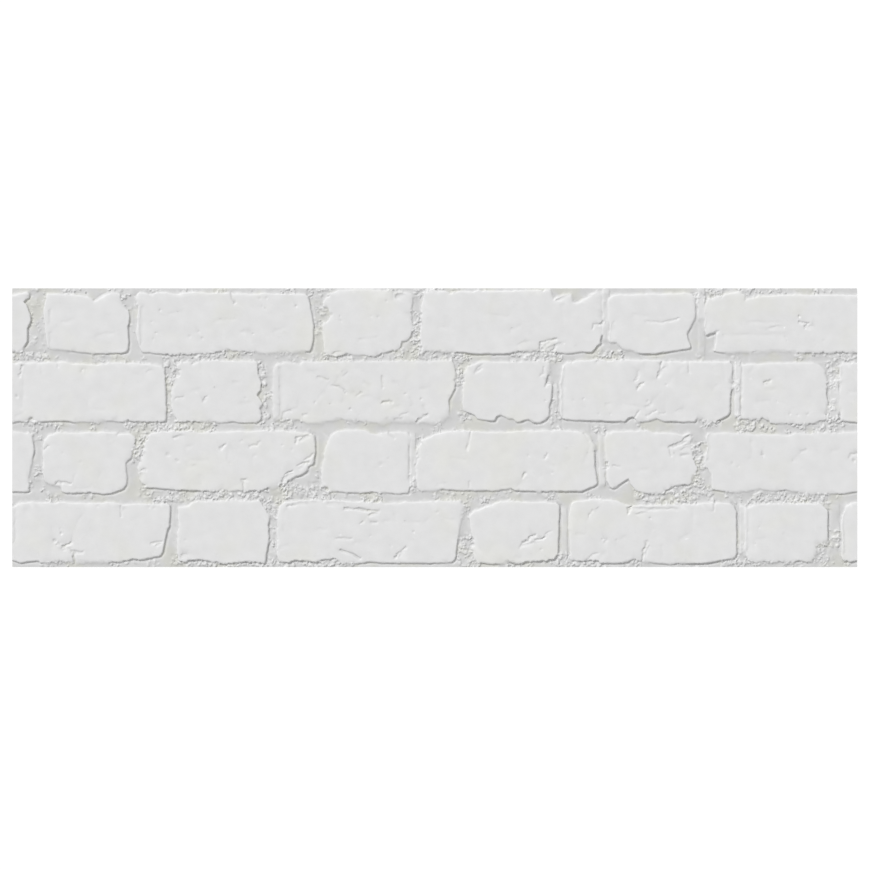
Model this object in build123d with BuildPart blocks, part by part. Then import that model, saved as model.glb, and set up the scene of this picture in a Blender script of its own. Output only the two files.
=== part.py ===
"""Pressed ceramic wall tile, its face moulded as four courses of worn brickwork in Flemish bond.

Millimetres. The tile lies on its back with its origin at the middle of the back:
+X runs along the courses, +Y up the wall and +Z out of the face.
"""

import math
import os

from build123d import *

# Tile
tile_length = 1000.0
tile_height = 330.0
joint_thickness = 9.3  # from the back to the floor of the moulded joints
brick_relief = 2.2  # from the joint floor to the highest brick faces
back_arris = 0.8  # bevel round the edge of the back

# Brickwork: the bond repeats from one tile to the next, both ways
courses = 4
bond_units = 3  # pairs of one stretcher and one header along a tile
header_length = 105.0
head_joint = 6.2  # upright joint between two bricks of a course, before wear
bed_joint = 8.5  # level joint between two courses, before wear
side_run = 0.5  # how far a brick's sides lean in, so that the punch lets go
shoulder_height = 0.6  # the soft edge where a brick's sides meet its face
shoulder_run = 0.8

# Keyed back: shallow pockets between crossing ribs, for the adhesive to bite into
pocket_depth = 0.8
pocket_pitch = 40.0
rib_width = 5.0
back_rim = 12.0  # least flat margin round the pockets
pocket_draft = 30.0


def brick(ends, drop, top, right, bottom, left):
    """One brick's wear. ends says how far its left and right ends lie to the right of the regular bond,
    and drop how far its face lies below the highest brick faces.

    Each side is a row of points (share along the side in percent, wear in from the side). The top
    and bottom run from left to right, and the left and right sides from top to bottom.
    """
    return {"ends": ends, "drop": drop, "top": top, "right": right, "bottom": bottom, "left": left}


# Courses from the top of the tile down. Each has the place of its first stretcher, from the tile's
# left edge, and the wear of six bricks, stretcher and header in turn, which then repeat.
COURSES = (
    (
        -185.0,
        (
            brick(
                ends=(5, -8),
                drop=0.0,
                top=((2, 8.5), (9, 6), (12, 2), (21, 0), (25, 7), (32, 5), (52, 3), (88, 4), (98, 0.5)),
                right=((6, 2), (17, 9), (22, 5), (40, 0), (50, 1), (58, 4.5), (78, 4), (97, 11.5)),
                bottom=((5, 3), (10, 1.2), (47, 3.8), (59, 0.8)),
                left=((20, 1), (62, 0), (71, 2), (65, 14)),
            ),
            brick(
                ends=(0, -3),
                drop=0.2,
                top=((5, 1), (40, 3), (52, 5), (58.5, 10), (79, 0.3), (87, 0.8)),
                right=(
                    (6, 11), (17, 9.5), (27, 4.5), (31, 0.3), (51, 0.2), (55, 1.8), (78, 0.6), (93, 1.6),
                ),
                bottom=((7, 6), (61, 0.4), (90, 0.6), (96, 2)),
                left=((35, 0), (88, 4.8)),
            ),
            brick(
                ends=(-1, -7),
                drop=0.3,
                top=((2, 1.2), (8, 1.8), (17, 0), (22, 2.8), (28, 0.8), (94, 2.5), (97, 4.5)),
                right=((50, 0.3), (78, 0.3), (89, 2), (96, 5)),
                bottom=(
                    (3.5, 2.2), (18, -0.7), (35, 0), (49, 3.5), (51.5, 6), (54, 3.8), (65.5, 3.2),
                    (73, 0.3), (82, 2.2),
                ),
                left=((7, 0), (20, 0), (24, 2), (34, 2), (41, 0.6), (77, 0.6), (88, 3)),
            ),
            brick(
                ends=(-3, 1),
                drop=0.5,
                top=((4, 8), (10, 3), (17, -1.7), (34, -2.7), (66, -2), (76, 0), (90, -0.5), (96, 2)),
                right=((8, 2), (46, 4.6), (60, 0), (71, 3.6), (79, 9), (80, 15), (89, 16)),
                bottom=(
                    (2, 3), (7, -1.2), (16, -3.2), (28, 0), (58, -2.8), (64, 1.2), (71, 2.2), (75, 4.8),
                    (82, 4.5),
                ),
                left=((16, 1.5), (22, 0.5), (28, 8), (41, 9.5), (48, 5.5), (52, 1), (75, 0.2)),
            ),
            brick(
                ends=(2, 1),
                drop=0.1,
                top=(
                    (2, 1), (5, -2), (12, -0.8), (17, 2.8), (20, -1.2), (71.5, -2), (73, 9), (79.5, 2.3),
                    (82.5, 2.8), (83.5, 11.5), (86, 12), (97, -0.2),
                ),
                right=(
                    (5, 0.8), (21, 2.3), (39, 1.8), (47, 0.3), (68, 0.3), (79, 2.3), (83, 1.3),
                    (87.5, 6), (94, 9),
                ),
                bottom=((2, 4.2), (24, 1.8), (30, 0), (45, 0), (64, 5.2), (80, 0.2), (89, 2.4), (94, 1.5)),
                left=((21, 1.2), (75, 0.2), (89, 1.8)),
            ),
            brick(
                ends=(1, 1),
                drop=0.1,
                top=((5, 5), (12, 3.2), (91, 1.2), (96, 3.5)),
                right=((10, 1), (32, 0.3), (44, 1.5), (66, 11)),
                bottom=((3, 12), (10, 12.8), (20, 4.3), (26, 5), (39, 0), (54, 0.3), (94, 6.5)),
                left=((12, 1.5), (28, 0.2), (43, 0.3), (54, 3), (67, 3), (77, 1.5)),
            ),
        ),
    ),
    (
        -30.0,
        (
            brick(
                ends=(9, -3),
                drop=0.2,
                top=((2.5, 1.8), (42, 0.3), (50, 3.2), (62, 3.2), (67, 1.5), (86, 1.8), (97, 5)),
                right=((13, 2), (45, 0.2), (95, 0)),
                bottom=(
                    (1, 3.8), (10.5, 1.2), (20, 4.2), (24, 2.2), (41, 3.4), (47, 1.4), (62, 3.8),
                    (75.5, 1.8), (77.5, 5), (80, 2.8), (98, 2.2),
                ),
                left=((8, 0.8), (52, 0.2), (91, 0.8)),
            ),
            brick(
                ends=(-4, -1),
                drop=0.5,
                top=((7, 5), (11, 0.2), (18, -0.8), (24, 2), (35, -1.4), (91, -0.8), (95, 2)),
                right=(
                    (25, 3.2), (34, 0.2), (45, 1.7), (54, 5.7), (67, 0.2), (75, 2.2), (85, 0.2),
                    (94, 1.8),
                ),
                bottom=((8, 3.8), (37, 1.8), (46, 3.4), (54, 1.2), (68, 2.2), (81, 0.8), (93, 1.8)),
                left=((15, 8.3), (31, 1.8), (69, 0.3), (88, 4.8)),
            ),
            brick(
                ends=(5, 6),
                drop=0.5,
                top=(
                    (1, 6), (3.5, 1.8), (8, 0.2), (15, 3.2), (17, 0), (70, -1.2), (83, 0.2), (90, -1.8),
                    (98, -1.2),
                ),
                right=((10, 0), (42, 0.4), (62, 8), (87, 7.4)),
                bottom=(
                    (1, 4.8), (14.5, 4.8), (19, 0.8), (26, 0.8), (37.5, 6.8), (41, 4.2), (46, 4.8),
                    (52, 1.5), (59, 0.8), (66, 4.2), (88, 1.2),
                ),
                left=((15, 0.5), (92, 0.6)),
            ),
            brick(
                ends=(8, 10),
                drop=0.3,
                top=((6, 5.5), (22, -0.4), (53, 0.2), (92, -1.6)),
                right=((3, 4), (34, 8.2), (36, 0.6), (60, 1.6), (71, 4.6)),
                bottom=(
                    (4, 13.5), (13, 10), (16, 5.8), (25, 3.8), (35, 3.2), (38, 8.5), (42, 10.4),
                    (50, 5.8), (56, 5), (60.5, 0.8), (73, 5.4), (78, 1.4), (85, 0.8), (91, 4.2), (96, 9),
                ),
                left=((14, 3.4), (46, 0.4), (68, 0.2), (77, 1.5)),
            ),
            brick(
                ends=(12, 1),
                drop=0.0,
                top=((1.5, 6), (4, 1.2), (8, -0.8), (58, -1.8), (62, 0), (98, 0)),
                right=((6, 0.3), (23, 0.8), (33, 4.3), (42, 1.3), (52, 3.1), (82, 4)),
                bottom=(
                    (1, 6.8), (3.5, 4.4), (37.5, 2.4), (39.5, 6.2), (42.5, 7.8), (44.5, 2.8), (51, 2.8),
                    (55.5, 6.2), (59.5, 3.2), (77.5, 1.8), (79.5, 6.8), (83, 5.8), (85, 0.8), (91, 3.4),
                    (97, 10),
                ),
                left=((31, 0.2), (86, 0.2)),
            ),
            brick(
                ends=(3, 2),
                drop=0.3,
                top=((2, 3), (80, 0.8), (87, 2.5), (93, 7)),
                right=((15, 4), (31, 1.5), (52, 2), (65, 0), (75, 2.5)),
                bottom=((1, 5.8), (26, 7.2), (33, 2.8), (41, 0.2), (80, 0.2), (96, 4)),
                left=((8, 0.3),),
            ),
        ),
    ),
    (
        -187.0,
        (
            brick(
                ends=(7, -2),
                drop=0.4,
                top=((2, 3.2), (12, 1), (46, 4.8), (51, 2.8), (75, 1.2), (87, 0.5), (97, 1.8)),
                right=((6, 2.5), (31, 0.3), (71, 6), (80, 8.5), (86, 6), (95, 7)),
                bottom=(
                    (4, 4.8), (18, 1.2), (31, 5), (42, 2.8), (46, 4.6), (52, 1.8), (60, 0.2), (80, 0),
                    (87, 2), (96, 2),
                ),
                left=((10, 1.8), (29, 2.8), (38, 0.3), (51, 0.3), (70, 8.3)),
            ),
            brick(
                ends=(1, 6),
                drop=0.2,
                top=((6, 5.8), (12, 2.8), (20, 1.2), (67, 0.8), (96, 3)),
                right=((10, 1), (21, 0.2), (31, 3.7), (43, 5.7), (53, 11.4), (72, 9.7), (85, 10), (93, 14)),
                bottom=(
                    (3.5, 14), (7, 11.2), (20, 8.2), (21, 2.2), (25, 0.2), (49, 1.2), (65, -0.8),
                    (74, 0.2), (84, 3.5),
                ),
                left=((15, 2.2), (25, 0.6), (68, 0.6), (76, 2)),
            ),
            brick(
                ends=(1, -3),
                drop=0.2,
                top=((7, 6.8), (10, 1.8), (14, 0), (37, 0.8), (79, -1.6), (98, 2.8)),
                right=(
                    (8, 0.8), (28, 0), (46, 0.9), (54, 2.5), (57, 8.5), (66, 11.5), (71, 18), (73, 23.5),
                    (78, 29), (80, 36), (85, 40),
                ),
                bottom=((7, 6.8), (30, 3.2), (69, 3.2), (72, 6)),
                left=((16, 12), (37, 8), (59, 1.4), (77, 3.6), (85, 8.6)),
            ),
            brick(
                ends=(-3, -1),
                drop=0.5,
                top=(
                    (11, 5), (17, 0.2), (27, -2.2), (41, -2.8), (51, -1), (57, 3), (62, 3.8), (71, 1),
                    (96, 1.5),
                ),
                right=((8, 0.6), (18, 1), (25, 3.1), (76, 3.6), (90, 1.2)),
                bottom=((11, 2.4), (18, 3.2), (28, 1), (62, 1.2), (84, -0.6), (96, 0.3)),
                left=((25, 6), (56, 1.4), (75, 0.4), (86, 1.5), (93, 5.5)),
            ),
            brick(
                ends=(-2, -2),
                drop=0.0,
                top=(
                    (4, 10.8), (10, 4.2), (16, -0.2), (31, -1), (39, 0.8), (50, 0.8), (61, -1),
                    (84, -1.2), (92, 0.8), (95.5, 6),
                ),
                right=((28, 3.8), (55, 3.3), (85, 0.3)),
                bottom=(
                    (3, 3.2), (11, 3.2), (15, 5.2), (22, 3.8), (44, 3.2), (52, 5.8), (55, 3.2),
                    (91, 2.2),
                ),
                left=((21, 4.2), (30, 1.7), (48, 0.2), (76, 0.2), (91, 1.7)),
            ),
            brick(
                ends=(-1, 4),
                drop=0.3,
                top=((2.5, 1.8), (12, -0.2), (44, -1), (54, 1.6), (75, 1.6), (84, 4.8), (92, 2.2)),
                right=((8, 6), (28, 6.5), (41, 5), (54, 1), (61, 0.5), (83, 8)),
                bottom=(
                    (6, 7.5), (10, 5.8), (27, 17.8), (29, 11), (34, 3.2), (42, 0.2), (51, -0.8),
                    (62, 0.2), (68, 4.8), (76, 8.2), (84, 10.2), (90, 9.8),
                ),
                left=((8, 1), (43, 1), (50, 4), (59, 2), (74, 3)),
            ),
        ),
    ),
    (
        -26.0,
        (
            brick(
                ends=(7, -2),
                drop=0.1,
                top=(
                    (3, 5.2), (6, 2.2), (9, 1.2), (9.8, 7.5), (11.5, 6), (13, 2.2), (19, 1.2), (57, 2.2),
                    (67, 1.2), (73, 3.5), (98, 3.2),
                ),
                right=((8, 0.2), (39, 1), (51, 5), (81, 9), (88, 12)),
                bottom=(
                    (1.5, 2.8), (5, 1.8), (9.5, 3.8), (14, 0.8), (24, 3.2), (27.5, 0.2), (39, 3),
                    (43, 1.8), (71, 1.4), (77, 4.4), (84, 3.8), (93, 8),
                ),
                left=((26, 0.8), (45, 0), (64, 1.8), (90, 0.3)),
            ),
            brick(
                ends=(-1, 4),
                drop=0.3,
                top=((2.5, 6.5), (13, 5.2), (19, 1.2), (25, -0.4), (88, -0.8), (92, 2.5)),
                right=((9, 7.7), (18, 1.7), (27, 0.2), (39, 1.9), (61, 0.4)),
                bottom=((3.5, 3.8), (9, 1.2), (16, 3.8), (28, 4.2), (51, -1), (69, 1.6), (95, 0.8)),
                left=((16, 1.8), (40, 2.6), (52, 0.8), (89, 0.8)),
            ),
            brick(
                ends=(6, 12),
                drop=0.3,
                top=((1.6, 4.2), (5, 1.2), (12, -1), (39, 0.2), (57, 2.8), (86, -0.4), (98, 0)),
                right=((8, 0.4), (41, 5.4), (94, 10.6)),
                bottom=(
                    (1.5, 1.8), (6, 0), (9, 3.4), (17, 2.8), (21, 0.2), (24.5, 4.4), (30, 5.2),
                    (35.5, 1.8), (43, -0.2), (50, 1.8), (58, 0.4), (82, -0.2), (93, 0.8),
                ),
                left=((16, 1.6), (90, 0)),
            ),
            brick(
                ends=(12, 14),
                drop=0.0,
                top=((4, 13), (32, 1.2), (41, 0.2), (84, 1), (96, 2.5)),
                right=((7, 0), (86, 2.2)),
                bottom=(
                    (5, 3.8), (11, 1), (26, -1), (38, -0.8), (44, 1.8), (53, -0.6), (66, 1.8), (85, 2.8),
                    (94, 5.5),
                ),
                left=((24, 0.4), (43, 1.4), (61, 4.9), (76, 2.9)),
            ),
            brick(
                ends=(17, 2),
                drop=0.0,
                top=(
                    (2.5, 3.8), (4.5, 0.2), (14, -1.8), (25, -2), (30, 0.2), (34, 4.2), (43, 4.8),
                    (66, 4.8), (81, 1.8), (96, 2.8),
                ),
                right=((8, 3.8), (18, 1.2), (83, 0.6), (90, 2.6)),
                bottom=(
                    (2, 4.8), (6, 1.8), (13, 3.8), (17, 2.8), (21, 0), (32, 0.2), (40, 5.2), (43, 2.2),
                    (50, 0.4), (58, -0.8), (66, 0.8), (74, -0.8), (83, 0.4), (97, 5.8),
                ),
                left=((28, 1.5), (52, 1.2)),
            ),
            brick(
                ends=(3, -1),
                drop=0.1,
                top=((3, 8), (15, 3.2), (78, 2.2), (90, 3.2)),
                right=((15, 1), (67, 0.8), (68.5, 7), (65.5, 12), (71, 16), (80, 15), (93, 17.5)),
                bottom=((6, 3.8), (14, 1.8), (24, 2.8), (39, 0.8), (68, 2.8), (79, 0.8)),
                left=((27, 1), (45, 3), (77, 1.3)),
            ),
        ),
    ),
)

tile_left = -tile_length / 2
tile_top = tile_height / 2
tile_thickness = joint_thickness + brick_relief
course_pitch = tile_height / courses
brick_height = course_pitch - bed_joint
stretcher_length = tile_length / bond_units - header_length - 2 * head_joint


def brick_outline(wear, start, length, upper):
    """The worn outline, clockwise from its upper left corner, of a brick that starts at start."""
    left = start + wear["ends"][0]
    right = start + length + wear["ends"][1]
    lower = upper - brick_height

    def along(low, high, share):
        return low + (high - low) * share / 100

    top_points = [(along(left, right, share), upper - depth) for share, depth in wear["top"]]
    right_points = [(right - depth, along(upper, lower, share)) for share, depth in wear["right"]]
    bottom_points = [(along(left, right, share), lower + depth) for share, depth in wear["bottom"]]
    left_points = [(left + depth, along(upper, lower, share)) for share, depth in wear["left"]]
    return top_points + right_points + bottom_points[::-1] + left_points[::-1]


def course_bricks(first_start, wears, upper):
    """One course's bricks, from its first stretcher until they pass the tile's right edge."""
    start = tile_left + first_start
    bricks = []
    while start < -tile_left:
        is_header = len(bricks) % 2
        length = header_length if is_header else stretcher_length
        wear = wears[len(bricks) % len(wears)]
        bricks.append((brick_outline(wear, start, length, upper), wear["drop"]))
        start += length + head_joint
    return bricks


def brickwork_bricks():
    """The outline and the drop of every brick of the face, course by course from the top."""
    bricks = []
    for row in range(courses):
        first_start, wears = COURSES[row % len(COURSES)]
        bricks += course_bricks(first_start, wears, tile_top - bed_joint / 2 - row * course_pitch)
    return bricks


def inset(outline, depth):
    """The outline with each of its sides moved in by depth."""
    points = [Vector(x, y) for x, y in outline]
    corners = []
    for i, corner in enumerate(points):
        side_before = (corner - points[i - 1]).normalized()
        side_after = (points[(i + 1) % len(points)] - corner).normalized()
        inward_before = side_before.rotate(Axis.Z, -90)
        inward_after = side_after.rotate(Axis.Z, -90)
        reach = depth / (1 + inward_before.dot(inward_after))
        corners.append(corner + (inward_before + inward_after) * reach)
    return corners


# Bricks: leaning sides, then a softer shoulder up to the face, all cut off at the tile's edges
def brick_solid(outline, drop):
    face = brick_relief - drop
    levels = ((0, 0), (face - shoulder_height, side_run), (face, side_run + shoulder_run))
    with BuildPart() as solid:
        for height, depth in levels:
            with BuildSketch(Plane.XY.offset(joint_thickness + height)):
                with BuildLine():
                    Polyline(*inset(outline, depth), close=True)
                make_face()
        loft(ruled=True)
    return solid.part


brick_solids = [brick_solid(outline, drop) for outline, drop in brickwork_bricks()]

with BuildPart() as brickwork:
    add(brick_solids)
    with Locations((0, 0, tile_thickness / 2)):
        Box(tile_length, tile_height, tile_thickness, mode=Mode.INTERSECT)

# Tile body, the brickwork on its face and the keys in its back
columns = math.floor((tile_length - 2 * back_rim + rib_width) / pocket_pitch)
rows = math.floor((tile_height - 2 * back_rim + rib_width) / pocket_pitch)
pocket_width = pocket_pitch - rib_width

with BuildPart() as tile:
    with BuildSketch(Plane.XY):
        Rectangle(tile_length, tile_height)
    extrude(amount=joint_thickness)
    chamfer(tile.edges().group_by(Axis.Z)[0], back_arris)
    with BuildSketch(Plane.XY):
        with GridLocations(pocket_pitch, pocket_pitch, columns, rows):
            Rectangle(pocket_width, pocket_width)
    extrude(amount=pocket_depth, taper=pocket_draft, mode=Mode.SUBTRACT)
    add(brickwork.part)

tile.part.label = "tile"
os.makedirs("parts", exist_ok=True)
export_step(tile.part, "parts/tile.step")
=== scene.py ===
import math

import bpy
import numpy as np
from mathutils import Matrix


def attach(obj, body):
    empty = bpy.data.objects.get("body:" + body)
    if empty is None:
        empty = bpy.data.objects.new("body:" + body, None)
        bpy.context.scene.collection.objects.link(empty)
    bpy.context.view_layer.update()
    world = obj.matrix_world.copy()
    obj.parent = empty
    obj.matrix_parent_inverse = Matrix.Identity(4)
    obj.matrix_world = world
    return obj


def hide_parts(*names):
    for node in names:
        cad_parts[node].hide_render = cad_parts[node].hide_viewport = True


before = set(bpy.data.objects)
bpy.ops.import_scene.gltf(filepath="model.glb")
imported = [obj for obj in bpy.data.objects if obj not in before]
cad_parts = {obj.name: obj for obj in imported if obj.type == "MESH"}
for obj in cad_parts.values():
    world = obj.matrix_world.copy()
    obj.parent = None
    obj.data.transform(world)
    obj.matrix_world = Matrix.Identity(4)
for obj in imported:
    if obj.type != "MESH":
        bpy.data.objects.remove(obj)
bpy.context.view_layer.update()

MM = 0.001  # the relief is worked out in millimetres

# Relief
GRID_STEP = 0.8  # of the height field, before it is thinned
FACE_TRIANGLES = 180000  # left on the face after thinning
SIDE_FOOT = 1.2  # how far a brick's side reaches out past its outline
SIDE_RUN = 2.6  # from the foot of a brick's side to its flat face
RAGGEDNESS = 0.65  # how far a brick's edge wanders from its outline
RAGGED_REACH = 10.0  # how far from a brick its side is worked out
FACE_DROP = 0.16  # mean depth of the brick faces below the highest point
FACE_WAVE = 0.07  # height of the slow waves on the brick faces
MOST_TILT = 0.08  # the most that a tilted brick face rises or falls
RIM_WEAR = 0.22  # how much lower a brick face is at its worn rim
LIP_HEIGHT = 0.08  # of the lip along the sharpest sides
JOINT_WAVE = 0.09  # height of the slow waves on the joint floor
JOINT_DROP = 0.08  # mean depth of the joints below the solid's joint floor
SANDY_DROP = 0.45  # how much lower the joint floor is under its sandiest patches
JOINT_FILLET = 0.42  # height of the mortar at the foot of the soft right and lower sides
DEEP_JOINT = 1.1  # how much deeper the joint is at the sharpest right and lower sides
DEEPEST = 1.4  # below the joint floor, for any mark
CRUMB_HEIGHT = 2.2  # of the sandy crumbs that stand in the joints
CRUMB_REACH = 1.2  # from the middle of the smallest crumb to its end
CRUMB_REACH_MORE = 2.6  # how much further the largest one reaches
CRUMBS_PER_MM2 = 0.2  # where the joint is sandiest
FAINT_DENTS = 230  # small dents strewn over the whole face
TOUCH = 0.01  # places that are nearer than this are the same place

# Marks seen on the face, placed in millimetres from the tile's upper left corner, rightwards and downwards

# Cracks and scratches: for each kind its width and depth, then the points that each one runs through
DEEP_CRACKS = (1.2, 1.0, (
    ((259, 5), (260, 12), (263, 17)), ((642, 68), (638, 73), (632, 80)), ((868, 6), (868, 13)),
    ((625, 73), (625, 64), (632, 62), (643, 60)), ((687, 47), (688, 43), (698, 42), (700, 38)),
    ((932, 40), (938, 40), (941, 42), (938, 46)), ((12, 92), (11, 97), (8, 103)), ((438, 135), (448, 134)),
    ((740, 118), (746, 112)), ((890, 112), (893, 110), (897, 109)),
    ((52, 231), (55, 228), (61, 229), (68, 231)), ((346, 202), (352, 200), (355, 196)),
    ((338, 210), (343, 207), (350, 206)), ((246, 189), (251, 185)),
    ((318, 237), (320, 228), (323, 221), (330, 216)), ((336, 182), (336, 177), (341, 175), (349, 174)),
    ((271, 228), (276, 226)), ((273, 229), (274, 240)), ((604, 223), (606, 218)), ((70, 311), (83, 312)),
    ((777, 188), (784, 185), (791, 181), (799, 176), (804, 174)), ((782, 187), (790, 184), (796, 181)),
    ((73, 312), (72, 318), (74, 325)), ((60, 306), (69, 301)), ((393, 260), (410, 261), (432, 263)),
    ((388, 309), (395, 312), (403, 314), (411, 319)), ((453, 318), (458, 312), (465, 307)),
    ((601, 306), (604, 300), (610, 298), (612, 294), (618, 292)), ((619, 297), (625, 297), (629, 294)),
    ((729, 266), (729, 261), (734, 258)), ((745, 322), (746, 312), (751, 300)), ((190, 105), (197, 97)),
    ((768, 88), (766, 97), (764, 105)), ((631, 115), (635, 104)), ((822, 57), (826, 54), (834, 51)),
    ((478, 158), (486, 152), (490, 149)),
))
CRACKS = (1.1, 0.55, (
    ((679, 321), (686, 316), (693, 314)), ((863, 90), (863, 106), (862, 130), (863, 152)),
    ((481, 174), (480, 200), (477, 210), (477, 236)), ((735, 260), (760, 261), (786, 261)),
    ((736, 261), (775, 262)), ((750, 39), (771, 40), (788, 35)), ((450, 5), (451, 12)), ((53, 86), (54, 92)),
    ((82, 98), (84, 95)), ((362, 105), (368, 106), (373, 108)), ((391, 103), (396, 100)),
    ((437, 104), (438, 117)), ((319, 154), (322, 146), (329, 144)), ((459, 150), (463, 148), (467, 147)),
    ((452, 155), (461, 153)), ((379, 115), (386, 115), (391, 119)), ((741, 98), (740, 104), (737, 110)),
    ((753, 150), (761, 144)), ((766, 148), (772, 148)), ((735, 153), (742, 145)), ((750, 141), (754, 139)),
    ((58, 232), (59, 240)), ((38, 190), (42, 186)), ((281, 187), (288, 185), (292, 181)),
    ((542, 168), (541, 176), (537, 190)), ((778, 189), (779, 197)), ((795, 186), (802, 185), (804, 179)),
    ((128, 258), (129, 270)), ((165, 302), (171, 300), (176, 299)), ((384, 296), (401, 296)),
    ((326, 258), (335, 256)), ((631, 291), (638, 288)), ((831, 250), (830, 262)), ((682, 269), (687, 263)),
    ((698, 297), (703, 296)), ((764, 104), (766, 98)), ((887, 193), (889, 199)), ((932, 193), (939, 191)),
    ((990, 200), (993, 196), (1000, 195)), ((676, 172), (682, 180)), ((125, 173), (128, 170)),
    ((630, 200), (633, 196)), ((628, 93), (628, 100), (625, 103)), ((408, 127), (412, 123)),
    ((800, 88), (801, 99)), ((192, 131), (202, 128)), ((226, 133), (230, 128)), ((711, 210), (719, 211)),
    ((425, 277), (431, 277)), ((412, 277), (416, 276)), ((344, 149), (348, 148)), ((150, 217), (157, 214)),
    ((446, 171), (452, 177)), ((875, 76), (881, 75)), ((714, 66), (708, 64)), ((942, 47), (937, 42)),
    ((555, 94), (548, 100)), ((541, 229), (541, 235)),
))
SCRATCHES = (1.7, 0.2, (
    ((842, 56), (870, 55), (915, 54)), ((870, 40), (905, 40)), ((860, 84), (880, 77)), ((735, 31), (750, 33)),
    ((10, 108), (11, 125), (9, 140)), ((15, 145), (5, 152)), ((29, 88), (29, 92)), ((34, 87), (35, 98)),
    ((154, 97), (157, 94)), ((143, 100), (148, 103)), ((92, 142), (108, 144)), ((90, 130), (90, 136)),
    ((212, 121), (220, 119)), ((262, 111), (268, 111)), ((266, 137), (282, 135)), ((222, 88), (224, 95)),
    ((350, 97), (358, 98)), ((382, 110), (392, 98)), ((362, 130), (375, 112)), ((391, 127), (391, 133)),
    ((396, 123), (408, 123)), ((414, 128), (424, 127), (434, 132)), ((416, 110), (422, 114)),
    ((451, 109), (455, 112)), ((483, 118), (493, 117)), ((471, 130), (473, 138)), ((486, 138), (488, 145)),
    ((450, 140), (458, 139)), ((338, 132), (338, 140)), ((337, 141), (329, 144)), ((364, 136), (365, 141)),
    ((702, 137), (706, 137)), ((722, 136), (735, 139), (752, 141)), ((748, 86), (749, 92)),
    ((789, 96), (792, 94)), ((829, 120), (833, 114)), ((841, 90), (843, 107)), ((873, 98), (878, 92)),
    ((882, 134), (893, 133)), ((893, 120), (900, 120)), ((990, 122), (1000, 122)), ((113, 174), (115, 178)),
    ((73, 220), (73, 226)), ((103, 218), (104, 223)), ((75, 237), (90, 237)), ((205, 188), (215, 186)),
    ((210, 203), (230, 203)), ((208, 211), (215, 210)), ((222, 222), (224, 230)), ((255, 190), (256, 200)),
    ((585, 173), (590, 167)), ((634, 206), (640, 211)), ((598, 233), (607, 225)), ((624, 223), (626, 221)),
    ((503, 232), (512, 231)), ((578, 234), (592, 234)), ((677, 205), (682, 190), (684, 182)),
    ((735, 190), (740, 195)), ((742, 215), (750, 214)), ((767, 187), (776, 187)), ((784, 194), (784, 202)),
    ((873, 179), (875, 190), (874, 200)), ((882, 186), (888, 190)), ((924, 203), (928, 199)),
    ((970, 192), (978, 190)), ((15, 262), (18, 265)), ((75, 282), (82, 268)), ((323, 263), (328, 260)),
    ((362, 285), (370, 285)), ((405, 301), (413, 301)), ((375, 308), (376, 314)), ((320, 280), (322, 284)),
    ((318, 306), (324, 304)), ((440, 275), (453, 275), (452, 268)), ((465, 276), (482, 277)),
    ((488, 276), (492, 272)), ((512, 273), (521, 274)), ((595, 317), (600, 319)),
    ((680, 274), (688, 266), (693, 260)), ((668, 290), (676, 292)), ((714, 302), (724, 294)),
    ((696, 320), (700, 312)), ((790, 297), (800, 290)), ((805, 262), (806, 275)), ((878, 298), (888, 296)),
    ((913, 290), (918, 294)), ((768, 305), (770, 312)), ((650, 20), (652, 40)), ((185, 30), (200, 27)),
    ((240, 38), (262, 36)), ((310, 50), (322, 47)), ((410, 60), (430, 58)), ((560, 30), (585, 33)),
    ((590, 50), (600, 44)), ((505, 45), (515, 47)), ((60, 40), (72, 37)), ((100, 55), (118, 53)),
    ((520, 200), (535, 203)), ((655, 190), (662, 200)),
))

# Low steps worn along the left edges of some bricks: run of the worn ground, depth and points
STEPS = (3.5, 0.5, (
    ((44, 27), (44, 40)), ((44, 53), (44, 70)), ((316, 95), (317, 150)), ((655, 90), (651, 115), (652, 150)),
    ((982, 90), (981, 102)), ((979, 112), (979, 152)), ((699, 172), (699, 202)), ((701, 206), (702, 232)),
    ((704, 8), (704, 56)), ((821, 6), (821, 46)), ((824, 175), (823, 202)), ((870, 258), (870, 308)),
    ((987, 258), (984, 272), (985, 312)), ((3, 258), (3, 300)), ((13, 92), (12, 140)), ((152, 22), (152, 65)),
))

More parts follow.
